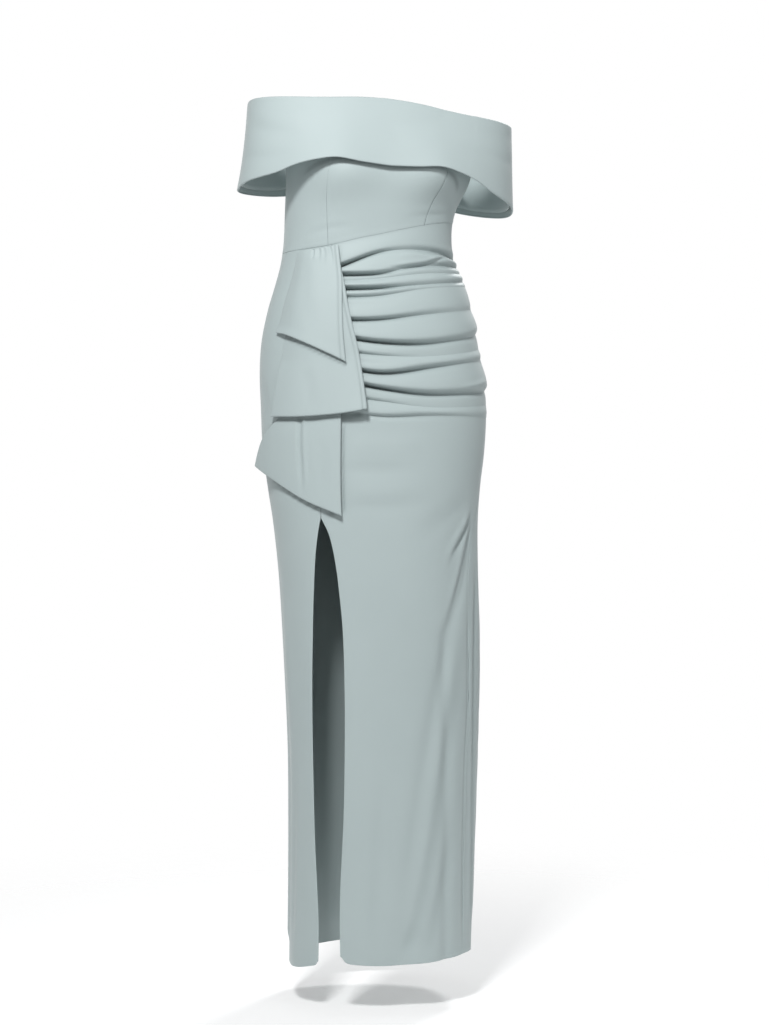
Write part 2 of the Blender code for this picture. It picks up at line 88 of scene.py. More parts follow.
# The hollow form that the cloth lies on, in millimetres and degrees.
# Angle 0 is the centre front, 90 the left side and 180 the centre back.
wornForm = {
    # height, shift to the left, half width, depth in front, depth behind, squareness
    "sections": [
        (150, 3, 147, 93, 86, 3.1), (60, 3, 150, 107, 90, 3.0), (8, 3, 150, 117, 94, 2.5),
        (-46, -10, 139, 107, 91, 2.3), (-101, -15, 136.5, 99, 90, 2.25), (-135, -12.5, 144, 100, 94, 2.2),
        (-169, -9.5, 156, 104, 102, 2.2), (-210, -10.5, 167, 110, 112, 2.2),
        (-260, -10.5, 177, 114, 122, 2.2), (-310, -7.5, 183, 116, 128, 2.2),
        (-370, -3.5, 185, 118, 130, 2.2), (-438, -3.5, 182, 120, 129, 2.2), (-500, -3, 174, 121.5, 126, 2.2),
        (-562, -0.5, 167, 122, 124, 2.25), (-650, 3.6, 162, 122, 122, 2.25), (-800, 7.6, 157, 122, 121, 2.3),
        (-950, 10, 151, 124, 124, 2.3), (-1100, 8.5, 148, 127, 130, 2.3), (-1290, 4.8, 146, 130, 137, 2.3),
    ],
    "cupAngle": 34,
    "cupZ": 2,
    "cupDepth": 11,
    "cupWidth": 19,
    "cupHeight": 40,
    "shoulderTilt": 0.0757,
}
sectionCurves = [curveThrough(wornForm["sections"], column) for column in range(1, 6)]
sectionSteps = {}


def section(z):
    below = math.floor(z)
    for step in (below, below + 1):
        if step not in sectionSteps:
            sectionSteps[step] = [curve(step) for curve in sectionCurves]
    return [mix(a, b, z - below) for a, b in zip(sectionSteps[below], sectionSteps[below + 1])]


def ovalRadius(angle, width, depth, squareness):
    across = abs(math.sin(math.radians(angle))) / width
    along = abs(math.cos(math.radians(angle))) / depth
    return (across**squareness + along**squareness) ** (-1 / squareness)


def cupSwell(angle, z, depth):
    rise = depth * hump(z - wornForm["cupZ"], wornForm["cupHeight"])
    if rise < 0.001:
        return 0.0
    return rise * sum(hump(angle - side * wornForm["cupAngle"], wornForm["cupWidth"]) for side in (-1, 1))


def formRadius(angle, z):
    width, front, back, squareness = section(z)[1:]
    depth = front if abs(angle) < 90 else back
    return ovalRadius(angle, width, depth, squareness) + cupSwell(angle, z, wornForm["cupDepth"])


def formPoint(angle, z):
    radius = formRadius(angle, z)
    turn = math.radians(angle)
    return Vector((section(z)[0] + radius * math.sin(turn), -radius * math.cos(turn), z))


def clothPoint(angle, z, out):
    # a point that lies out from the form along its own normal
    step = 1.5
    roundIt = formPoint(angle + step, z) - formPoint(angle - step, z)
    upIt = formPoint(angle, z + step) - formPoint(angle, z - step)
    return formPoint(angle, z) + roundIt.cross(upIt).normalized() * out


def asAngle(length, angle, z):
    return math.degrees(length / formRadius(angle, z))


creaseForm = {
    "steps": 6,  # of the smoothed path between two of its points
    "reach": 3,  # past this many widths a crease isn't felt
    "crestAt": 1.7,  # widths from the crease to the crest beside it
    "crestWidth": 1.2,
}


def preparedCreases(creases):
    # each crease: path of (angle, z), depth, width, crest beside it, fade at its start and at its end
    ready = []
    for path, depth, width, crest, fadeIn, fadeOut in creases:
        middle = path[len(path) // 2]
        arc = math.radians(formRadius(*middle))
        corners = [(k, angle * arc, z) for k, (angle, z) in enumerate(path)]
        xCurve, zCurve = curveThrough(corners, 1), curveThrough(corners, 2)
        steps = creaseForm["steps"]
        points = [(xCurve(k / steps), zCurve(k / steps)) for k in range(steps * (len(path) - 1) + 1)]
        reach = creaseForm["reach"] * width
        box = (
            min(x for x, z in points) - reach, max(x for x, z in points) + reach,
            min(z for x, z in points) - reach, max(z for x, z in points) + reach,
        )
        ready.append((points, box, arc, depth, width, crest, fadeIn, fadeOut))
    return ready


def creaseOffset(ready, angle, z):
    # how far the creases push the cloth out here, or let it fall in
    total = 0.0
    for points, box, arc, depth, width, crest, fadeIn, fadeOut in ready:
        x = angle * arc
        if x < box[0] or x > box[1] or z < box[2] or z > box[3]:
            continue
        nearest, side, share = 1e9, 1.0, 0.0
        for k in range(len(points) - 1):
            (ax, az), (bx, bz) = points[k], points[k + 1]
            dx, dz = bx - ax, bz - az
            along = min(max(((x - ax) * dx + (z - az) * dz) / (dx * dx + dz * dz), 0.0), 1.0)
            gapX, gapZ = x - ax - along * dx, z - az - along * dz
            gap = gapX * gapX + gapZ * gapZ
            if gap < nearest:
                nearest, share = gap, (k + along) / (len(points) - 1)
                side = 1.0 if dx * gapZ - dz * gapX > 0 else -1.0
        signed = side * math.sqrt(nearest)
        fade = smoothStep(share / fadeIn) * smoothStep((1 - share) / fadeOut)
        beside = hump(signed - creaseForm["crestAt"] * width, creaseForm["crestWidth"] * width)
        total += fade * depth * (hump(signed, width) - crest * beside)
    return total


def shadeAt(ready, angle, z):
    # how little light reaches the cloth here, from 0 to 1
    return min(max(-creaseOffset(ready, angle, z), 0), 1)


# Shader maths
class Wire:
    def __init__(self, board, socket):
        self.board, self.socket = board, socket

    def __add__(self, other):
        return self.board.maths("ADD", self, other)

    def __mul__(self, other):
        return self.board.maths("MULTIPLY", self, other)

    def __rsub__(self, other):
        return self.board.maths("SUBTRACT", other, self)

    __radd__ = __add__
    __rmul__ = __mul__


class Board:
    # the nodes of one material, or of the world
    def __init__(self, name, tree=None):
        if tree is None:
            self.material = bpy.data.materials.new(name)
            self.material.use_nodes = True
            tree = self.material.node_tree
        self.tree = tree
        self.tree.nodes.clear()

    def node(self, kind, settings, sockets, output=0):
        made = self.tree.nodes.new("ShaderNode" + kind)
        for key, value in settings.items():
            setattr(made, key, value)
        for key, value in sockets.items():
            if isinstance(value, Wire):
                self.tree.links.new(value.socket, made.inputs[key])
            else:
                made.inputs[key].default_value = value
        return Wire(self, made.outputs[output]) if len(made.outputs) else made

    def maths(self, operation, a, b):
        return self.node("Math", {"operation": operation}, {0: a, 1: b})

    def blend(self, share, a, b):
        return self.node("Mix", {"data_type": "RGBA"}, {0: share, 6: a, 7: b}, output=2)

    def bump(self, strength, distance, height):
        return self.node("Bump", {}, {"Strength": strength, "Distance": distance, "Height": height})

    def varied(self, value, middle, spread):
        return value * spread + (middle - spread / 2)

    def show(self, shader):
        self.node("OutputMaterial", {}, {"Surface": shader})
        return self.material


crepe = {
    "light": (0.418, 0.488, 0.489, 1),
    "deep": (0.380, 0.447, 0.449, 1),
    "hollow": (0.100, 0.130, 0.132, 1),  # painted shade: the colour drawn deep in creases, in a seam and under edges, where little light comes in
    "hollowShare": 0.62,
    "roughness": 0.58,
    "roughnessVaries": 0.16,
    "sheen": 0.12,
    "sheenRoughness": 0.45,
    "specular": 0.32,
    "pebble": 1500,
    "crinkle": 620,
    "grainShares": (0.6, 0.4),  # of pebble and crinkle
    "pebbleHeight": 0.00012,
    "bumpStrength": 0.35,
    "cloudScale": 9,
    "colourShares": (0.55, 0.45),  # of cloud and grain
}
zipTape = {
    "colour": (0.46, 0.55, 0.54, 1),
    # the groove colour is painted shade: the tape is drawn darker where its weave is low
    "groove": (0.36, 0.44, 0.43, 1),
    "ribs": 62.5,
    "weave": 1250,
    "weaveShares": (0.6, 0.4),  # of ribs and weave
    "weaveHeight": 0.0002,
    "bumpStrength": 0.4,
    "roughness": 0.8,
    "roughnessVaries": 0.1,
}


def crepeMaterial():
    board = Board("sage_crepe")
    spot = board.node("TexCoord", {}, {}, output="Object")
    cloud = board.node("TexNoise", {}, {"Vector": spot, "Scale": crepe["cloudScale"], "Detail": 2.0})
    pebble = board.node(
        "TexNoise", {}, {"Vector": spot, "Scale": crepe["pebble"], "Detail": 1.5, "Distortion": 0.4}
    )
    crinkle = board.node(
        "TexVoronoi", {"feature": "SMOOTH_F1"}, {"Vector": spot, "Scale": crepe["crinkle"], "Smoothness": 0.7}
    )
    pebbleShare, crinkleShare = crepe["grainShares"]
    grain = pebble * pebbleShare + (1 - crinkle) * crinkleShare
    cloudShare, grainShare = crepe["colourShares"]
    colour = board.blend(cloud * cloudShare + grain * grainShare, crepe["deep"], crepe["light"])
    # painted shade: this attribute darkens the colour in creases, a seam and under edges
    hollow = board.node("Attribute", {"attribute_name": "hollow"}, {}, output="Fac")
    colour = board.blend(hollow * crepe["hollowShare"], colour, crepe["hollow"])
    shader = board.node("BsdfPrincipled", {}, {
        "Base Color": colour,
        "Roughness": board.varied(grain, crepe["roughness"], crepe["roughnessVaries"]),
        "Normal": board.bump(crepe["bumpStrength"], crepe["pebbleHeight"], grain),
        "Sheen Weight": crepe["sheen"],
        "Sheen Roughness": crepe["sheenRoughness"],
        "Specular IOR Level": crepe["specular"],
    })
    return board.show(shader)


def zipMaterial():
    board = Board("zip_tape_weave")
    spot = board.node("TexCoord", {}, {}, output="Object")
    ribs = board.node("TexWave", {"bands_direction": "Z"}, {"Vector": spot, "Scale": zipTape["ribs"]})
    weave = board.node("TexNoise", {}, {"Vector": spot, "Scale": zipTape["weave"], "Detail": 1.0})
    ribShare, weaveShare = zipTape["weaveShares"]
    height = ribs * ribShare + weave * weaveShare
    shader = board.node("BsdfPrincipled", {}, {
        # the weave's ribs, with their grooves darkened as painted shade
        "Base Color": board.blend(height, zipTape["groove"], zipTape["colour"]),
        "Roughness": board.varied(weave, zipTape["roughness"], zipTape["roughnessVaries"]),
        "Normal": board.bump(zipTape["bumpStrength"], zipTape["weaveHeight"], height),
    })
    return board.show(shader)


def addObject(name, data):
    made = bpy.data.objects.new(name, data)
    bpy.context.scene.collection.objects.link(made)
    return made


crepeFinish = crepeMaterial()
zipFinish = zipMaterial()
print("crepe and zip tape mixed")

# Cutting and sewing
sewing = {
    "seam": 0.3,  # between two panels
    "wall": 1.6,  # the outer face of one layer stands this far off the form
    "cloth": 1.1,  # thickness of one layer
    "rollSteps": 4,
    "roll": 1.2,  # an edge turns in over this width
    "seamDrop": 0.4,  # and goes this deep at a seam of the skirt
    "hemDrop": 1.2,  # this deep at the hem and the slit
    "waistDrop": 0.15,  # and this deep at the waist seam
    "degreeLength": 2.3,  # a degree round the body is about this long
}


def rolledSteps(shares, roll):
    # (share, distance in from the edge, how much of its drop) across a sheet, whose two edges turn in
    turned = []
    for k in range(sewing["rollSteps"]):
        turn = math.pi / 2 * (1 - k / sewing["rollSteps"])
        turned.append((roll * (1 - math.sin(turn)), 1 - math.cos(turn)))
    steps = [(0.0, inset, drop) for inset, drop in turned]
    steps += [(share, roll, 0.0) for share in shares]
    return steps + [(1.0, inset, drop) for inset, drop in reversed(turned)]


def even(count):
    return [k / count for k in range(count + 1)]


def sewSheet(name, columns, thickness, material, node, hollows=None):
    # a grid whose points are moved onto the columns, left to right and bottom to top, with a wall behind it;
    # the last argument gives each point's painted shade, from 0 to 1, which darkens its colour
    acrossCount, upCount = len(columns) - 1, len(columns[0]) - 1
    cloth = bmesh.new()
    hollow = cloth.verts.layers.float.new("hollow")
    bmesh.ops.create_grid(cloth, x_segments=acrossCount, y_segments=upCount, size=1)
    for vert in cloth.verts:
        i = round((vert.co.x + 1) / 2 * acrossCount)
        j = round((vert.co.y + 1) / 2 * upCount)
        vert.co = columns[i][j] * mm
        if hollows:
            vert[hollow] = hollows[i][j]
    mesh = bpy.data.meshes.new(name)
    cloth.to_mesh(mesh)
    cloth.free()
    mesh.shade_smooth()
    mesh.materials.append(material)
    piece = addObject(name, mesh)
    shell = piece.modifiers.new("wall", "SOLIDIFY")
    shell.thickness = thickness * mm
    shell.offset = -1
    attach(piece, "root")
    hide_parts(node)
    return piece


def coonsPatch(left, right, bottom, top):
    # (angle, z) between four edges given as functions of 0 to 1
    corners = [[bottom(0), bottom(1)], [top(0), top(1)]]

    def place(u, v):
        spot = []
        for k in (0, 1):
            low = mix(corners[0][0][k], corners[0][1][k], u)
            high = mix(corners[1][0][k], corners[1][1][k], u)
            sides = mix(bottom(u)[k], top(u)[k], v) + mix(left(v)[k], right(v)[k], u)
            spot.append(sides - mix(low, high, v))
        return spot

    return place


# Bodice
bodice = {
    "princessSeam": [(140, 38), (6, 41), (-40, 42), (-103, 41.5), (-125, 41)],
    "waistSeam": [
        (-180, -90), (-150, -103), (-120, -113), (-90, -117), (-64, -116.4), (-48, -113.7), (-36, -109.7),
        (-15, -100.3), (3.4, -93.4), (21, -86), (43, -75.8), (57, -70), (71, -65.5), (90, -62.5),
        (120, -67), (150, -78), (180, -90),
    ],
    "top": [
        (-180, 60), (-140, 56), (-112, 34), (-90, 18), (-68, 36), (-42, 66), (0, 70), (42, 66), (68, 36),
        (90, 18), (112, 34), (140, 56), (180, 60),
    ],
    "topZ": 60,  # heights at which a panel's corners are read off its side seams
    "bottomZ": -100,
    "princessDrop": 0.8,  # as deep as this at the other seams of the bodice
    "flushDrop": 0.08,  # the right princess seam is pressed so flat that it hardly shows
    # piece: side seams, columns, flat width and length in metres, cut area in square metres
    "panels": {
        "bodice_front_centre": ("right_princess", "left_princess", 60, (0.205, 0.185), 0.0307),
        "bodice_side_front_left": ("left_princess", 90, 40, (0.112, 0.150), 0.0132),
        "bodice_side_front_right": (-90, "right_princess", 40, (0.118, 0.200), 0.0206),
        "bodice_back_left": (90, 180, 56, (0.172, 0.165), 0.0223),
        "bodice_back_right": (-180, -90, 56, (0.178, 0.210), 0.0314),
    },
    "rows": 44,
    "waistRidge": 0.45,  # the allowances pressed up behind the waist seam
    "ridgeAbove": 2.4,
    "ridgeWidth": 1.8,
    # soft drags towards the waist: path, depth, width, crest, fade at each end
    "creases": [
        ([(-62, -96), (-40, -84), (-16, -79)], -0.7, 5.0, 0.5, 0.4, 0.5),
        ([(20, -66), (42, -60), (70, -52)], -0.7, 4.5, 0.5, 0.5, 0.4),
        ([(118, -62), (134, -48), (156, -42)], -1.4, 6.0, 0.6, 0.4, 0.5),
        ([(-158, -52), (-136, -60), (-112, -76)], -1.4, 6.0, 0.6, 0.5, 0.4),
        ([(-150, -78), (-132, -86), (-106, -98)], -1.0, 5.0, 0.5, 0.5, 0.3),
    ],
    # painted shade, where little light comes in: under the collar's edge and in the left princess seam
    "shades": [
        ([(-63, 0), (-54, 12), (-45, 19), (-34, 23), (-20, 18), (0, 12), (20, 11), (34, 13), (45, 5),
          (54, -6), (63, -22)], -0.75, 3.2, 0.0, 0.1, 0.1),
        ([(41.5, -92), (42, -40), (41, 8)], -0.6, 0.9, 0.0, 0.02, 0.02),
    ],
}
bodiceCreases = preparedCreases(bodice["creases"])
bodiceShades = preparedCreases(bodice["shades"])
princessCurve = curveThrough(bodice["princessSeam"])
waistCurve = curveThrough(bodice["waistSeam"])
bodiceTopCurve = curveThrough(bodice["top"])


def bodiceSeam(name):
    if name == "left_princess":
        return princessCurve
    if name == "right_princess":
        return lambda z: -princessCurve(z)
    return lambda z: name


def makeBodice():
    for node, (start, end, count, flat, area) in bodice["panels"].items():
        startSeam, endSeam = bodiceSeam(start), bodiceSeam(end)

        def bottom(u):
            angle = mix(startSeam(bodice["bottomZ"]), endSeam(bodice["bottomZ"]), u)
            return angle, waistCurve(angle) + sewing["seam"] / 2

        def top(u):
            angle = mix(startSeam(bodice["topZ"]), endSeam(bodice["topZ"]), u)
            z = bodiceTopCurve(angle)
            return angle, z - wornForm["shoulderTilt"] * formPoint(angle, z).x

        def side(seam, low, high, sign):
            def edge(v):
                z = mix(low, high, v)
                return seam(z) + sign * asAngle(sewing["seam"] / 2, seam(z), z), z
            return edge

        left = side(startSeam, bottom(0)[1], top(0)[1], 1)
        right = side(endSeam, bottom(1)[1], top(1)[1], -1)
        place = coonsPatch(left, right, bottom, top)
        wide = abs(right(0.5)[0] - left(0.5)[0]) * sewing["degreeLength"]
        tall = top(0.5)[1] - bottom(0.5)[1]
        columns, hollows = [], []
        for share, inset, acrossDrop in rolledSteps(even(count), sewing["roll"]):
            u = mix(inset / wide, 1 - inset / wide, share)
            flush = (start if share == 0 else end) == "right_princess"
            sideDrop = acrossDrop * bodice["flushDrop" if flush else "princessDrop"]
            ridgeZ = bottom(u)[1]
            column, hollow = [], []
            for rise, lift, upDrop in rolledSteps(even(bodice["rows"]), sewing["roll"]):
                v = mix(lift / tall, 1 - lift / tall, rise)
                angle, z = place(u, v)
                out = sewing["wall"] - max(sideDrop, sewing["waistDrop"] * upDrop)
                out += bodice["waistRidge"] * hump(z - ridgeZ - bodice["ridgeAbove"], bodice["ridgeWidth"])
                column.append(clothPoint(angle, z, out + creaseOffset(bodiceCreases, angle, z)))
                # painted shade under the collar's edge and in the left princess seam
                hollow.append(shadeAt(bodiceShades, angle, z))
            columns.append(column)
            hollows.append(hollow)
        piece = sewSheet(node + "_cloth", columns, sewing["cloth"], crepeFinish, node, hollows=hollows)


makeBodice()
print("bodice sewn")

# Skirt
skirt = {
    "topZ": -100,  # heights at which the waist seam and the hem are read off a column
    "bottomZ": -1265,
    "ruchingEnd": -400,
    "ruchingZ": -250,
    "slitTop": -550,
    "leftSideSeam": [
        (60, 90), (-400, 90), (-455, 85.5), (-520, 75), (-590, 65), (-680, 60.5), (-840, 60.5),
        (-960, 57.5), (-1100, 56), (-1290, 57),
    ],
    "frontSeam": [(-80, -38.7), (-114, -38.7), (-329, -40.3), (-470, -43.2), (-550, -45.6)],
    # height, angle of the slit's right edge, of its left edge
    "slit": [
        (-550, -45.6, -45.6), (-576, -48, -41.2), (-617, -50.8, -38.3), (-674, -53, -36.2),
        (-735, -54.5, -34.7), (-833, -56.3, -34.4), (-937, -57.2, -35), (-1048, -55.8, -35.5),
        (-1138, -53.1, -36.5), (-1200, -51.2, -36.3), (-1290, -50.8, -34.5),
    ],
    "hem": [
        (-180, -1268), (-120, -1278), (-92, -1281), (-70, -1277), (-57, -1270), (-53, -1267),
        (-50.8, -1260), (-35, -1250), (-31.5, -1259), (-26, -1262), (0, -1264), (45, -1260), (70, -1257),
        (90, -1257), (140, -1264), (180, -1268),
    ],
    # the crease below each pleat: its height at four places round the panel, then the pleat's depth there
    "pleatPlaces": (-40, 0, 40, 90),
    "pleats": [
        (-150, -123.5, -116.5, -126, 5.0, 3.6, 2.6, 2.2), (-160, -157, -142, -137.5, 4.8, 4.4, 3.2, 2.0),
        (-171, -165, -155, -147, 0.5, 0.8, 1.6, 1.4), (-183, -180.5, -172.5, -158, 5.0, 4.2, 2.8, 2.0),
        (-197, -193, -179, -167, 3.0, 2.6, 1.2, 0.8), (-233.5, -231.5, -221, -203, 5.2, 5.0, 3.4, 0.7),
        (-257, -268.5, -268, -243.5, 5.6, 7.0, 6.2, 4.4), (-280, -289.5, -289, -268, 4.2, 2.8, 0.6, 0.3),
        (-305, -318, -307, -285, 5.4, 6.6, 4.8, 1.0), (-326.5, -343, -351, -339, 5.8, 7.2, 7.0, 5.0),
        (-351, -363.5, -372, -362, 3.6, 2.6, 0.6, 0.3), (-375.5, -387.5, -385, -386, 2.0, 3.6, 3.0, 0.6),
    ],
    # how deep each crease cuts in at six places, and how wide it is at the seam and at the side
    "cutPlaces": (-32, -8, 18, 42, 68, 88),
    "cuts": [
        (10.0, 6.0, 1.6, 3.0, 5.0, 1.2), (9.0, 7.5, 2.4, 3.0, 3.2, 0.8), (0.4, 0.4, 0.4, 0.6, 0.4, 0.0),
        (10.0, 8.0, 3.0, 2.0, 2.4, 0.8), (4.0, 3.2, 1.6, 0.4, 0.0, 0.0), (8.0, 7.0, 3.6, 1.8, 0.3, 0.0),
        (10.5, 9.5, 7.5, 4.2, 1.6, 0.5), (3.0, 1.6, 0.3, 0.0, 0.0, 0.0), (10.5, 9.0, 6.5, 3.4, 0.6, 0.0),
        (11.5, 10.0, 7.0, 5.0, 2.6, 0.8), (3.4, 1.6, 0.2, 0.0, 0.0, 0.0), (1.5, 3.0, 2.8, 1.4, 0.3, 0.0),
    ],
    "cutWidths": (2.8, 4.8),
    "softensFrom": -20,  # from this angle on, and over this many degrees, pleats go from crisp to soft
    "softensOver": 80,
    "pleatTurns": (5.0, 12.0),  # a pleat turns under over this height at the seam and at the side
    "mostTurn": 0.45,  # of a pleat's height
    "turnPowers": (0.5, 1.2),  # how round it turns at the seam and at the side
    "fullness": 1.3,  # above 1, a pleat stays flat for longer below the crease above it
    "seamFlattens": 9,
    "hollowDepth": 9.0,  # a pleat's crease this deep gets the darkest painted shade
    "creaseShade": 0.4,  # and a soft crease gets this share of painted shade
    "swellRows": (0.04, 0.09, 0.15, 0.22, 0.31, 0.42, 0.54, 0.66, 0.77, 0.87, 0.94, 1.0),
    "turnRows": (0.2, 0.4, 0.58, 0.74, 0.87, 0.96, 1.0),
    # fine creases and drags: path, depth, width, crest beside it, fade at its start and end
    "creases": [
        ([(6, -149), (24, -146), (40, -141), (54, -131), (66, -123)], -2.4, 2.6, 0.8, 0.3, 0.25),
        ([(12, -134), (32, -124), (50, -131), (64, -140)], 1.6, 4.0, 0.0, 0.4, 0.4),
        ([(-36, -206), (-12, -207), (12, -204)], -0.9, 2.6, 0.6, 0.1, 0.7),
        ([(-30, -243), (-8, -247), (14, -247)], -1.0, 2.6, 0.5, 0.1, 0.7),
        ([(-30, -296), (-6, -301), (16, -301)], -1.2, 2.6, 0.5, 0.1, 0.7),
        ([(52, -338), (66, -333), (80, -322)], 1.8, 3.4, 0.0, 0.4, 0.3),
        ([(-34, -433), (0, -434), (44, -428)], 1.5, 11.0, 0.0, 0.3, 0.4),
        ([(-38, -469), (0, -470), (32, -467)], -1.7, 9.0, 0.3, 0.3, 0.5),
        ([(-36, -529), (4, -527), (42, -519)], -2.0, 11.0, 0.5, 0.3, 0.5),
        ([(14, -596), (34, -566), (52, -538), (64, -510)], -1.6, 8.0, -0.6, 0.5, 0.3),
        ([(42, -634), (50, -600), (58, -572), (66, -540)], -3.6, 4.4, 0.9, 0.5, 0.2),
        ([(39, -738), (47, -688), (54, -640), (61, -588), (67, -552)], -2.6, 4.6, 0.6, 0.5, 0.2),
        ([(9, -1250), (19, -1194), (29.5, -1080), (35, -994), (40, -930), (50, -792), (58, -700)],
         -4.5, 13.0, 0.15, 0.1, 0.3),
        ([(22, -1258), (33, -1180), (42, -1090), (47, -1000)], -3.0, 13.0, 0.1, 0.2, 0.5),
        ([(56, -1240), (55, -1100), (56, -960), (59.3, -840), (59.3, -680)], -1.6, 2.2, 0.0, 0.1, 0.1),
        ([(-14, -1250), (-12, -1080), (-8, -900)], -1.3, 12.0, 0.0, 0.3, 0.6),
        ([(-78, -1262), (-76, -1060), (-73, -840)], -2.0, 9.0, 0.6, 0.2, 0.6),
        ([(-86, -300), (-79, -360), (-76, -440)], -0.8, 7.0, 0.5, 0.4, 0.5),
        ([(67, -1250), (66, -1000), (67, -760), (73, -560)], -2.6, 5.0, 0.8, 0.1, 0.3),
        ([(78, -1250), (76, -1000), (76, -760), (82, -560)], 3.0, 5.0, 0.0, 0.1, 0.4),
        ([(91, -152), (108, -158), (124, -150)], -2.6, 4.0, 0.7, 0.05, 0.6),
        ([(91, -206), (114, -215), (140, -208)], -3.0, 4.6, 0.7, 0.05, 0.6),
        ([(91, -252), (110, -264), (130, -268)], -2.6, 5.0, 0.6, 0.05, 0.6),
        ([(91, -340), (114, -354), (142, -360)], -3.0, 5.6, 0.7, 0.05, 0.6),
        ([(91, -386), (108, -392), (124, -394)], -1.8, 4.6, 0.5, 0.05, 0.6),
        ([(-94, -150), (-126, -146), (-158, -130)], -2.4, 5.0, 0.6, 0.3, 0.5),
        ([(-96, -186), (-118, -178), (-140, -162)], -1.8, 4.6, 0.6, 0.3, 0.5),
        ([(128, -118), (146, -112), (168, -116)], -2.0, 4.4, 0.6, 0.4, 0.3),
        ([(110, -452), (136, -478), (170, -472)], -4.2, 9.0, 0.6, 0.4, 0.4),
        ([(-170, -480), (-140, -492), (-106, -462)], -4.0, 9.0, 0.6, 0.4, 0.4),
        ([(118, -520), (140, -532), (160, -528)], -2.6, 8.0, 0.5, 0.4, 0.5),
        ([(150, -560), (156, -800), (160, -1240)], -5.0, 12.0, 0.5, 0.3, 0.05),
        ([(104, -1250), (106, -980), (116, -640)], -5.0, 12.0, 0.6, 0.05, 0.4),
        ([(-116, -1250), (-118, -900), (-126, -580)], -5.0, 12.0, 0.5, 0.05, 0.4),
        ([(-156, -1250), (-158, -1000), (-150, -700)], -3.6, 12.0, 0.4, 0.05, 0.5),
        ([(-98, -1250), (-96, -1040), (-94, -760)], 3.4, 9.0, 0.0, 0.05, 0.5),
    ],
    # painted shadow, where little light comes in: under the cascade's edges
    "shades": [
        ([(-88, -468), (-80, -480), (-54.6, -524), (-31, -552)], -0.8, 3.4, 0.0, 0.03, 0.03),
        ([(-32, -390), (-24, -388), (-15, -383)], -0.9, 6.0, 0.0, 0.05, 0.3),
        ([(-30.6, -400), (-30.4, -455), (-30.4, -545)], -0.6, 2.0, 0.0, 0.1, 0.05),
    ],
    "foldFadesIn": 3,
    "foldWidths": (0.55, 0.75),  # shares of a fold's width: at its top, and gained down to its foot
    # long soft folds: angle and height at the top, angle and height at the foot, bow, depth, width
    "folds": [
        (64, -560, 40, -740, -5, -3.0, 3.4), (61, -600, 8, -1262, 9, -4.0, 7.5),
        (66, -640, 27, -1262, 10, 2.4, 8.0), (76, -470, 68, -1262, 0, 4.0, 6.0),
        (138, -520, 128, -1275, 0, 6.0, 9.0), (-142, -560, -134, -1275, 0, 6.0, 9.0),
        (-80, -560, -74, -1275, 0, 3.0, 8.0),
    ],
    # piece: seams, columns, rows above and below the end of the ruching, flat size, cut area
    "panels": {
        "skirt_front_left_ruched": ("front_left", "left_side", 116, 0, 96, (0.40, 1.20), 0.3157),
        "skirt_front_right": (-90, "front_right", 44, 50, 130, (0.175, 1.17), 0.1356),
        "skirt_back_left": ("left_side", 180, 84, 60, 120, (0.34, 1.20), 0.3406),
        "skirt_back_right": (-180, -90, 70, 56, 120, (0.27, 1.18), 0.2738),
    },
}
skirtCreases = preparedCreases(skirt["creases"])
skirtShades = preparedCreases(skirt["shades"])
leftSideCurve = curveThrough(skirt["leftSideSeam"])
frontSeamCurve = curveThrough(skirt["frontSeam"])
slitCurves = {"right": curveThrough(skirt["slit"], 1), "left": curveThrough(skirt["slit"], 2)}
hemCurve = curveThrough(skirt["hem"])


def skirtSeam(name):
    if name == "left_side":
        return leftSideCurve
    if name in ("front_left", "front_right"):
        slitEdge = slitCurves[name.split("_")[1]]
        return lambda z: frontSeamCurve(z) if z > skirt["slitTop"] else slitEdge(z)
    return lambda z: name


def foldOffset(angle, z):
    total = 0.0
    atTop, gained = skirt["foldWidths"]
    for topAngle, topZ, lowAngle, lowZ, bow, depth, width in skirt["folds"]:
        share = min((z - topZ) / (lowZ - topZ), 1.0)
        if share <= 0:
            continue
        path = mix(topAngle, lowAngle, share) - bow * math.sin(math.pi * share)
        fade = smoothStep(skirt["foldFadesIn"] * share)
        total += depth * fade * hump(angle - path, width * (atTop + gained * share))
    return total


def ruchedRows(angle, waistZ):
    # (height, distance out, depth in a crease) down the ruched panel at one angle
    held = smoothStep((angle - frontSeamCurve(skirt["ruchingZ"])) / skirt["seamFlattens"])
    held *= smoothStep((90 - angle) / skirt["seamFlattens"])
    toSide = smoothStep((angle - skirt["softensFrom"]) / skirt["softensOver"])
    width = mix(*skirt["cutWidths"], toSide)
    rows, above = [], waistZ
    for pleat, cut in zip(skirt["pleats"], skirt["cuts"]):
        below = curveThrough(list(zip(skirt["pleatPlaces"], pleat[:4])))(angle)
        depth = held * curveThrough(list(zip(skirt["pleatPlaces"], pleat[4:])))(angle)
        groove = held * max(curveThrough(list(zip(skirt["cutPlaces"], cut)))(angle), 0)
        crest = below + min(mix(*skirt["pleatTurns"], toSide), skirt["mostTurn"] * (above - below))
        for share in skirt["swellRows"]:
            out = depth * math.sin(math.pi / 2 * share) ** skirt["fullness"]
            rows.append([mix(above, crest, share), out, below, groove])
        for share in skirt["turnRows"]:
            out = depth * (1 - share**2) ** mix(*skirt["turnPowers"], toSide)
            rows.append([mix(crest, below, share), out, below, groove])
        above = below
    rows += [[mix(above, skirt["ruchingEnd"], share), 0.0, above, 0.0] for share in even(4)[1:]]
    cuts = sorted({(below, groove) for z, out, below, groove in rows if groove})
    shaped = []
    for z, out, below, groove in rows:
        cut = sum(groove * hump(z - below, width) for below, groove in cuts)
        shaped.append((z, out - cut, cut))
    return shaped


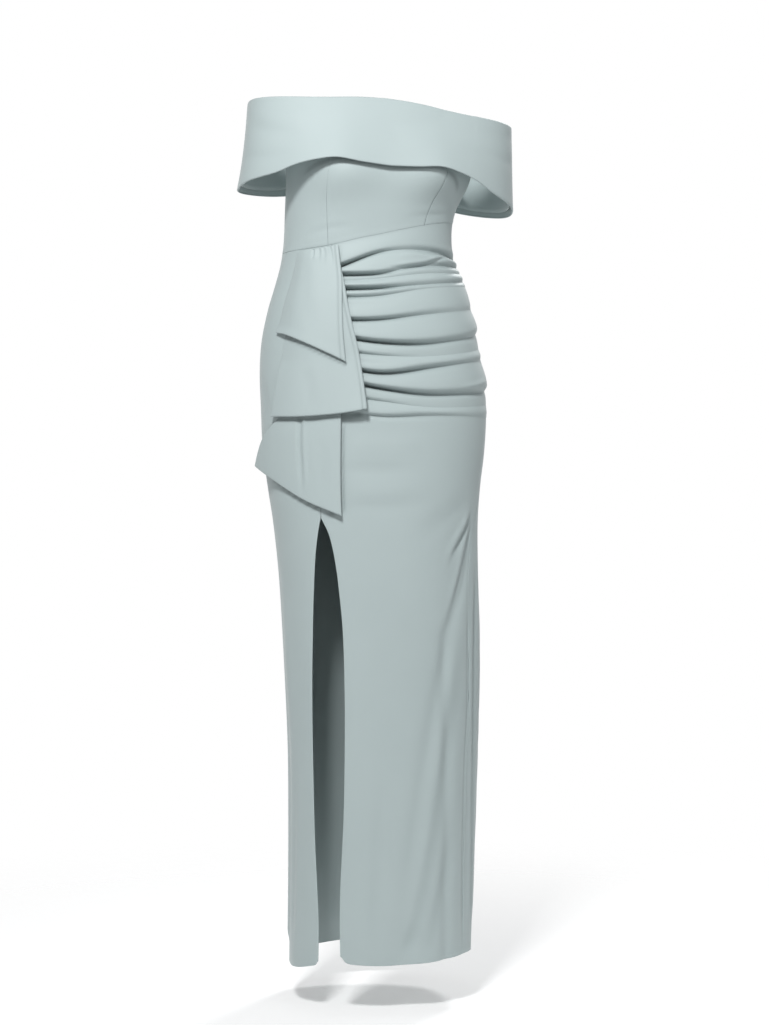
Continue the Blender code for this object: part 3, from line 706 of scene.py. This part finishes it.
def skirtColumn(angleAt, upperCount, lowerCount, acrossDrop, freeSide):
    waistZ = waistCurve(angleAt(skirt["topZ"])) - sewing["seam"] / 2
    hemZ = hemCurve(angleAt(skirt["bottomZ"]))
    roll, end, rollSteps = sewing["roll"], skirt["ruchingEnd"], sewing["rollSteps"]
    turned = rolledSteps([], roll)
    rows = [(hemZ + inset, 0.0, 0.0, drop) for share, inset, drop in turned[:rollSteps]]
    rows += [(mix(hemZ + roll, end, share), 0.0, 0.0, 0.0) for share in even(lowerCount)]
    if upperCount:
        upper = [(mix(waistZ - roll, end, share), 0.0, 0.0) for share in even(upperCount)]
    else:
        upper = [(waistZ - roll, 0.0, 0.0)] + ruchedRows(angleAt(skirt["ruchingZ"]), waistZ - roll)
    rows += [(z, out, cut, 0.0) for z, out, cut in reversed(upper[:-1])]
    rows += [(waistZ - inset, 0.0, 0.0, drop) for share, inset, drop in turned[rollSteps:]]
    column, hollows = [], []
    for z, out, cut, drop in rows:
        angle = angleAt(z)
        crease = creaseOffset(skirtCreases, angle, z)
        stand = sewing["wall"] + out + foldOffset(angle, z) + crease
        # painted shade: darker in the pleats' grooves and in the creases, and under the cascade's edges
        paintedFoldShade = (cut + skirt["creaseShade"] * max(-crease, 0)) / skirt["hollowDepth"]
        hollows.append(min(paintedFoldShade + shadeAt(skirtShades, angle, z), 1))
        sideDrop = sewing["hemDrop" if z < skirt["slitTop"] and freeSide else "seamDrop"] * acrossDrop
        endDrop = sewing["waistDrop" if z > end else "hemDrop"] * drop
        column.append(clothPoint(angle, z, stand - max(sideDrop, endDrop)))
    return column, hollows


def makeSkirt():
    for node, (start, end, count, upperCount, lowerCount, flat, area) in skirt["panels"].items():
        startSeam, endSeam = skirtSeam(start), skirtSeam(end)
        columns, hollows = [], []
        for share, inset, acrossDrop in rolledSteps(even(count), sewing["roll"]):

            def angleAt(z):
                left, right = startSeam(z), endSeam(z)
                edge = asAngle(sewing["seam"] / 2 + inset, left, z)
                otherEdge = asAngle(sewing["seam"] / 2 + inset, right, z)
                return mix(left + edge, right - otherEdge, share)

            freeSide = (start if share == 0 else end) in ("front_left", "front_right")
            column, hollow = skirtColumn(angleAt, upperCount, lowerCount, acrossDrop, freeSide)
            columns.append(column)
            hollows.append(hollow)
        piece = sewSheet(node + "_cloth", columns, sewing["cloth"], crepeFinish, node, hollows=hollows)


makeSkirt()
print("skirt sewn")

# Hip cascade
cascade = {
    "wall": 2.2,
    "roll": 2.3,
    "cloth": 1.2,
    "sewnDrop": 0.3,  # the left edge and the top turn in only this deep
    "edgeRoll": 0.46,  # the share of its width over which a tier rises from the skirt
    "feather": 1.6,  # the left edge lies this much lower, down on the skirt
    "featherShare": 0.25,
    "bandWidth": 7.0,  # the turned band down the right edge
    "bandCrown": 0.5,
    "crownWidth": 2.2,
    "bandGroove": 1.3,
    "grooveWidth": 1.0,
    # painted shade in the groove beside the turned band
    "grooveShade": 0.45,
    "edgeDegree": 2,  # a degree's length where steps along an edge are evened out
    "columns": 60,
    "rows": 60,
    # outlines as (angle, z) corners; lifts as (share down, left, middle, right)
    "tiers": {
        "upper": {
            "left": [(-66, -119), (-68.5, -185), (-70, -252)],
            "right": [(-33, -112), (-31.6, -160), (-29.4, -212), (-27.7, -276), (-27.2, -302)],
            "bottom": [(-70, -252), (-61.6, -258), (-35, -292), (-27.2, -302)],
            "top": [(-66, -119), (-50, -117), (-33, -112)],
            "lifts": [
                (0.0, 2.6, 5.2, 5.2), (0.1, 2.6, 9.5, 9.9), (0.3, 2.4, 13.0, 13.2), (0.6, 2.2, 14.2, 14.0),
                (0.88, 2.4, 15.4, 15.5), (1.0, 7.5, 16.8, 17.2),
            ],
            "creases": [
                ([(-43.5, -113), (-41.5, -124), (-42.5, -146)], 1.5, 1.8, 0.0, 0.05, 0.6),
                ([(-40.5, -112), (-38.6, -124), (-38.0, -152)], -1.8, 1.7, 0.5, 0.05, 0.7),
                ([(-48, -114), (-47, -126), (-48, -142)], -1.6, 1.8, 0.6, 0.05, 0.7),
                ([(-51.6, -118), (-51.4, -127), (-52.2, -137)], -2.2, 1.5, 0.6, 0.05, 0.5),
                ([(-56, -130), (-54, -190), (-48, -262)], -0.7, 9.0, 0.5, 0.3, 0.4),
            ],
            "shades": [],
            "flat": (0.105, 0.195),
            "area": 0.0174,
            "band": 0.8,  # how much its turned band shows
        },
        "middle": {
            "left": [(-61, -121), (-63, -190), (-65, -265), (-72, -386.5)],
            "right": [(-34, -113), (-32, -150), (-27.9, -189), (-22.8, -233.5), (-18, -282), (-14.6, -377)],
            "bottom": [(-72, -386.5), (-55, -388), (-39, -385.5), (-27.7, -382.5), (-14.6, -377)],
            "top": [(-61, -121), (-48, -118.5), (-34, -113)],
            "lifts": [
                (0.0, 2.1, 2.1, 2.4), (0.07, 2.1, 4.5, 6.6), (0.2, 2.1, 8.6, 9.6), (0.65, 2.1, 10.6, 10.8),
                (0.72, 5.6, 11.5, 12.0), (1.0, 11.5, 15.0, 22.0),
            ],
            "creases": [
                ([(-52, -300), (-50, -340), (-49, -388)], -0.8, 9.0, 0.5, 0.4, 0.3),
                ([(-24, -300), (-22, -340), (-21, -380)], -0.7, 6.0, 0.5, 0.5, 0.3),
            ],
            # painted shadow under the upper tier's bottom edge
            "shades": [
                ([(-70, -256), (-61.6, -262), (-35, -296), (-26.6, -306)], -0.9, 3.0, 0.0, 0.02, 0.02),
            ],
            "flat": (0.145, 0.285),
            "area": 0.0322,
            "band": 1.0,
        },
        "lower": {
            "left": [(-59, -348), (-68, -385), (-82, -422), (-89, -463)],
            "right": [(-33, -352), (-32, -390), (-31.8, -455), (-31.7, -547)],
            "bottom": [(-89, -463), (-80, -476), (-54.6, -520), (-31.7, -547)],
            "top": [(-59, -348), (-46, -350), (-33, -352)],
            "lifts": [
                (0.0, 2.1, 2.4, 7.0), (0.15, 2.3, 3.6, 7.2), (0.4, 3.6, 5.0, 7.6), (0.7, 9.0, 5.0, 8.4),
                (1.0, 19.0, 7.5, 11.0),
            ],
            "creases": [
                ([(-55.8, -376), (-55.9, -427), (-55.3, -476), (-55, -520)], -3.2, 3.4, 0.5, 0.05, 0.5),
                ([(-45, -400), (-43, -460), (-42, -530)], -0.7, 8.0, 0.5, 0.4, 0.3),
            ],
            # painted shadow under the middle tier's bottom edge
            "shades": [([(-73, -391), (-55, -393), (-39, -390), (-28, -387)], -0.9, 3.4, 0.0, 0.02, 0.02)],
            "flat": (0.175, 0.205),
            "area": 0.0235,
            "band": 0.0,
        },
    },
}


def edgeThrough(corners):
    # a smooth edge through corners, as a function of 0 to 1
    lengths = [0.0]
    for a, b in zip(corners, corners[1:]):
        lengths.append(lengths[-1] + math.hypot((b[0] - a[0]) * cascade["edgeDegree"], b[1] - a[1]))
    steps = [(so / lengths[-1], angle, z) for so, (angle, z) in zip(lengths, corners)]
    angleCurve, zCurve = curveThrough(steps, 1), curveThrough(steps, 2)
    return lambda share: (angleCurve(share), zCurve(share))


def makeCascade():
    for name, tier in cascade["tiers"].items():
        left, right = edgeThrough(tier["left"]), edgeThrough(tier["right"])
        bottom, top = edgeThrough(tier["bottom"]), edgeThrough(tier["top"])
        place = coonsPatch(lambda v: left(1 - v), lambda v: right(1 - v), bottom, top)
        lifts = [curveThrough(tier["lifts"], column) for column in (1, 2, 3)]
        creases, shades = preparedCreases(tier["creases"]), preparedCreases(tier["shades"])
        wide = abs(right(0.5)[0] - left(0.5)[0]) * sewing["degreeLength"]
        tall = abs(top(0.5)[1] - bottom(0.5)[1])
        columns, hollows = [], []
        for share, inset, acrossDrop in rolledSteps(even(cascade["columns"]), cascade["roll"]):
            u = mix(inset / wide, 1 - inset / wide, share)
            column, hollow = [], []
            for rise, raised, upDrop in rolledSteps(even(cascade["rows"]), cascade["roll"]):
                v = mix(raised / tall, 1 - raised / tall, rise)
                atLeft, inMiddle, atRight = (curve(1 - v) for curve in lifts)
                if u < cascade["edgeRoll"]:
                    lift = mix(atLeft, inMiddle, math.sin(math.pi / 2 * u / cascade["edgeRoll"]))
                else:
                    across = (u - cascade["edgeRoll"]) / (1 - cascade["edgeRoll"])
                    lift = mix(inMiddle, atRight, smoothStep(across))
                angle, z = place(u, v)
                atEdge = smoothStep(1 - u / cascade["featherShare"])
                out = lift + cascade["wall"] - cascade["feather"] * atEdge
                fromRight = (right(1 - v)[0] - angle) * sewing["degreeLength"]
                inGroove = tier["band"] * hump(fromRight - cascade["bandWidth"], cascade["grooveWidth"])
                onBand = tier["band"] * hump(fromRight - cascade["bandWidth"] / 2, cascade["crownWidth"])
                out += cascade["bandCrown"] * onBand - cascade["bandGroove"] * inGroove
                out += creaseOffset(creases, angle, z)
                sideDrop = acrossDrop * cascade["sewnDrop" if share == 0 else "roll"]
                endDrop = upDrop * cascade["sewnDrop" if rise == 1 else "roll"]
                column.append(clothPoint(angle, z, out - max(sideDrop, endDrop)))
                # painted shade: darker in the band's groove and under the tier above
                hollow.append(min(cascade["grooveShade"] * inGroove + shadeAt(shades, angle, z), 1))
            columns.append(column)
            hollows.append(hollow)
        node = "cascade_tier_" + name
        piece = sewSheet(node + "_cloth", columns, cascade["cloth"], crepeFinish, node, hollows=hollows)


makeCascade()
print("cascade hung")

# Fold-over collar
collar = {
    "centreX": 3,
    "wall": 2.2,
    "roll": 2.3,
    "sideRoll": 1.0,
    "slot": 3,
    "blend": 0.5,  # how softly the flap is lifted off the leg where the two come close
    "spread": 0.5,  # between columns even by angle and columns even along the flap
    "bandShare": 0.35,  # how far down the flap its length is read off
    "middleShare": 0.5,
    "creaseFadesIn": 4,
    "legStandoff": 2.4,
    "legSwingsOut": 8,
    "legLeavesZ": 72,
    "legRise": 40,
    "cupDepth": 7,
    # share down the flap, width to the right and left, depth in front and behind, squareness
    "bands": [
        (0.0, 213, 220.5, 103, 95, 2.5), (0.35, 217, 221, 111, 100, 2.5), (0.7, 223, 221.5, 121, 106, 2.45),
        (1.0, 230.5, 222.5, 128, 110, 2.4),
    ],
    # angle, top, bottom of the flap, bottom of the leg inside it
    "edges": [
        (0, 124, 12, 46), (20, 122.5, 14.5, 46), (34, 120, 18, 46), (45, 117.2, 12, 40), (54, 115.4, 3, 26),
        (63, 114.6, -11, 6), (75, 114.5, -21, -10), (90, 115, -30, -20), (115, 114, -24, -14),
        (140, 113, -6, 12), (160, 112.5, 2, 26), (180, 112, 4, 30),
    ],
    # soft dents of the flap: path, depth, width, crest, fade at each end
    "creases": [
        ([(-84, 92), (-66, 70), (-48, 62)], -1.4, 11.0, 0.4, 0.3, 0.6),
        ([(-88, 40), (-70, 30), (-52, 36)], -1.0, 9.0, 0.4, 0.3, 0.5),
        ([(44, 58), (62, 40), (84, 30)], -1.4, 10.0, 0.4, 0.5, 0.3),
        ([(50, 92), (70, 80), (88, 82)], -1.0, 9.0, 0.4, 0.5, 0.3),
        ([(-10, 100), (6, 66), (4, 34)], -0.6, 14.0, 0.0, 0.4, 0.4),
        ([(100, 70), (126, 44), (150, 50)], -1.6, 11.0, 0.5, 0.4, 0.5),
        ([(-152, 56), (-128, 48), (-102, 74)], -1.6, 11.0, 0.5, 0.5, 0.4),
    ],
    "flapRows": 34,
    "foldRows": 12,
    "legRows": 18,
    # piece: start, end, columns, flat size, cut area
    "pieces": {
        "collar_front": (-90, 90, 176, (0.56, 0.26), 0.1272),
        "collar_back_left": (90, 180, 84, (0.27, 0.27), 0.0664),
        "collar_back_right": (-180, -90, 84, (0.27, 0.27), 0.0666),
    },
}
collarCreases = preparedCreases(collar["creases"])
bandCurves = [curveThrough(collar["bands"], column) for column in range(1, 6)]
collarEdgeCurves = [curveThrough(collar["edges"], column) for column in (1, 2, 3)]


def flapRadius(angle, share):
    rightWidth, leftWidth, front, back, squareness = (curve(share) for curve in bandCurves)
    width = leftWidth if angle > 0 else rightWidth
    depth = front if abs(angle) < 90 else back
    swell = share**2 * cupSwell(angle, wornForm["cupZ"], collar["cupDepth"])
    return ovalRadius(angle, width, depth, squareness) + swell


def larger(a, b, blend):
    return (a + b + math.sqrt((a - b) ** 2 + blend**2)) / 2


def collarProfile(angle):
    # (radius, z) of the outer skin up the flap, over the fold and down the leg
    top, bottom, legBottom = (curve(abs(angle)) for curve in collarEdgeCurves)
    middle = flapRadius(angle, collar["middleShare"])
    tilt = wornForm["shoulderTilt"] * middle * math.sin(math.radians(angle))
    top, bottom, legBottom = top - tilt, bottom - tilt, legBottom - tilt
    wall, slot = collar["wall"], collar["slot"]
    foldRise = wall + slot / 2
    spring = top - foldRise

    def leg(z):
        onBodice = formRadius(angle, z) + collar["legStandoff"]
        beside = flapRadius(angle, (spring - z) / (spring - bottom)) - slot - wall
        swing = max(beside - onBodice, 0)
        away = smoothStep(swing / collar["legSwingsOut"] - 1)
        freed = max(away, smoothStep((z - collar["legLeavesZ"]) / collar["legRise"]))
        return onBodice + swing * freed

    def flap(share):
        z = mix(spring, bottom, share)
        return larger(flapRadius(angle, share), leg(z) + wall + slot, collar["blend"]) + wall, z

    line = []
    upFlap = reversed(rolledSteps(even(collar["flapRows"]), collar["roll"])[sewing["rollSteps"]:])
    for share, inset, drop in upFlap:
        down = mix(0, 1 - inset / (spring - bottom), share)
        radius, z = flap(down)
        out = creaseOffset(collarCreases, angle, z) * smoothStep(collar["creaseFadesIn"] * down)
        line.append((radius + out - collar["roll"] * drop, z))
    foldMiddle = (flap(0)[0] + leg(spring)) / 2
    halfSlot = (flap(0)[0] - leg(spring)) / 2
    for k in range(1, collar["foldRows"]):
        turn = math.pi * k / collar["foldRows"]
        line.append((foldMiddle + halfSlot * math.cos(turn), spring + foldRise * math.sin(turn)))
    for share in even(collar["legRows"]):
        z = mix(spring, legBottom, share)
        line.append((leg(z), z))
    return line


def makeCollar():
    widest = bandCurves[1](collar["bandShare"])
    deepest = bandCurves[2](collar["bandShare"])
    for node, (start, end, count, flat, area) in collar["pieces"].items():
        columns = []
        for share, inset, drop in rolledSteps(even(count), collar["sideRoll"]):
            turn = math.radians(mix(start, end, share))
            stretched = math.atan2(widest * math.sin(turn), deepest * math.cos(turn))
            angle = math.degrees(mix(turn, stretched, collar["spread"]))
            if share in (0, 1):
                radius = flapRadius(start if share == 0 else end, collar["middleShare"])
                edge = math.degrees((sewing["seam"] / 2 + inset) / radius)
                angle = start + edge if share == 0 else end - edge
            sine, cosine = math.sin(math.radians(angle)), math.cos(math.radians(angle))
            profile = collarProfile(angle)
            columns.append([Vector((collar["centreX"] + r * sine, -r * cosine, z)) for r, z in profile])
        piece = sewSheet(node + "_cloth", columns, collar["wall"], crepeFinish, node)


makeCollar()
print("collar folded")

# Concealed zip
zipStrip = {
    "halfWidth": 11,
    "wall": 1.2,
    "top": 36,
    "bottom": -330,
    "gap": 0.9,  # it lies this far inside the form
    "columns": 24,
    "rows": 90,
}


def makeZip():
    columns = []
    for u in even(zipStrip["columns"]):
        column = []
        for v in even(zipStrip["rows"]):
            z = mix(zipStrip["bottom"], zipStrip["top"], v)
            side = mix(-zipStrip["halfWidth"], zipStrip["halfWidth"], u)
            column.append(clothPoint(180 + asAngle(side, 180, z), z, -zipStrip["gap"]))
        columns.append(column)
    piece = sewSheet("back_zip_tape", columns, zipStrip["wall"], zipFinish, "back_zip")


makeZip()
print("zip set in")

# Studio
studio = {
    "aim": (0.01388, -0.00220, -0.541),
    "azimuth": -9,
    "distance": 3.6,
    "lens": 76.5,
    "sensor": 36,
    "floorZ": -1.339,
    "floorRadius": 2.6,
    "floorSides": 96,
    "floorFade": (1.1, 2.2),  # distances over which it clears away
    "floorColour": (0.97, 0.97, 0.97, 1),
    "floorRoughness": 0.9,
    "floorGlow": 0.2,
    "white": (1.0, 1.0, 1.0, 1),
    "ceiling": (0.16, 0.165, 0.17, 1),  # the room overhead and its near side are dimmer than its far wall
    "nearSide": (0.50, 0.505, 0.51, 1),
    "ceilingFade": (0.24, 0.5),  # directions between which walls turn to ceiling, and near to far side
    "farFade": (0.2, 0.85),
    "lampAim": (0, 0, -0.4),
    # lamp: place, size, power
    "lamps": {
        "key": ((-0.8, -2.1, 1.45), 0.45, 74),
        "fill": ((1.5, -1.7, 0.5), 0.9, 3.5),
        "back": ((1.7, 2.2, 1.7), 0.8, 62),
    },
}


def makeStudio():
    aim = Vector(studio["aim"])
    turn = math.radians(studio["azimuth"])
    back = Vector((math.sin(turn), -math.cos(turn), 0))
    camera = addObject("camera", bpy.data.cameras.new("camera"))
    camera.data.lens = studio["lens"]
    camera.data.sensor_width = studio["sensor"]
    camera.location = aim + back * studio["distance"]
    camera.rotation_euler = (-back).to_track_quat("-Z", "Y").to_euler()
    bpy.context.scene.camera = camera
    bpy.context.scene.view_settings.view_transform = "Standard"
    lampAim = Vector(studio["lampAim"])
    for name, (place, size, power) in studio["lamps"].items():
        lamp = bpy.data.lights.new(name, "AREA")
        lamp.size, lamp.energy = size, power
        holder = addObject(name, lamp)
        holder.location = place
        holder.rotation_euler = (lampAim - Vector(place)).to_track_quat("-Z", "Y").to_euler()


def smoothRange(board, value, ends):
    return board.node("MapRange", {"interpolation_type": "SMOOTHSTEP"}, {0: value, 1: ends[0], 2: ends[1]})


def makeWorld():
    world = bpy.data.worlds.new("studio")
    world.use_nodes = True
    board = Board(None, world.node_tree)
    direction = board.node("TexCoord", {}, {}, output="Generated")
    height = board.node("SeparateXYZ", {}, {"Vector": direction}, output="Z")
    depth = board.node("SeparateXYZ", {}, {"Vector": direction}, output="Y")
    overhead = smoothRange(board, height, studio["ceilingFade"])
    far = smoothRange(board, depth, studio["farFade"])
    walls = board.blend(far, studio["nearSide"], studio["white"])
    colour = board.blend(overhead, walls, studio["ceiling"])
    shader = board.node("Background", {}, {"Color": colour, "Strength": 1.0})
    board.node("OutputWorld", {}, {"Surface": shader})
    bpy.context.scene.world = world


def makeFloor():
    disc = bmesh.new()
    bmesh.ops.create_circle(disc, cap_ends=True, segments=studio["floorSides"], radius=studio["floorRadius"])
    for vert in disc.verts:
        vert.co.z = studio["floorZ"]
    mesh = bpy.data.meshes.new("floor")
    disc.to_mesh(mesh)
    disc.free()
    board = Board("pale_floor")
    spot = board.node("TexCoord", {}, {}, output="Object")
    far = board.node("VectorMath", {"operation": "LENGTH"}, {0: spot}, output="Value")
    fade = smoothRange(board, far, studio["floorFade"])
    paint = board.node("BsdfPrincipled", {}, {
        "Base Color": studio["floorColour"],
        "Roughness": studio["floorRoughness"],
        "Emission Color": studio["white"],
        "Emission Strength": studio["floorGlow"],
    })
    clear = board.node("BsdfTransparent", {}, {})
    board.show(board.node("MixShader", {}, {0: fade, 1: paint, 2: clear}))
    mesh.materials.append(board.material)
    floor = addObject("floor", mesh)


makeWorld()
makeStudio()
makeFloor()
print("studio lit")
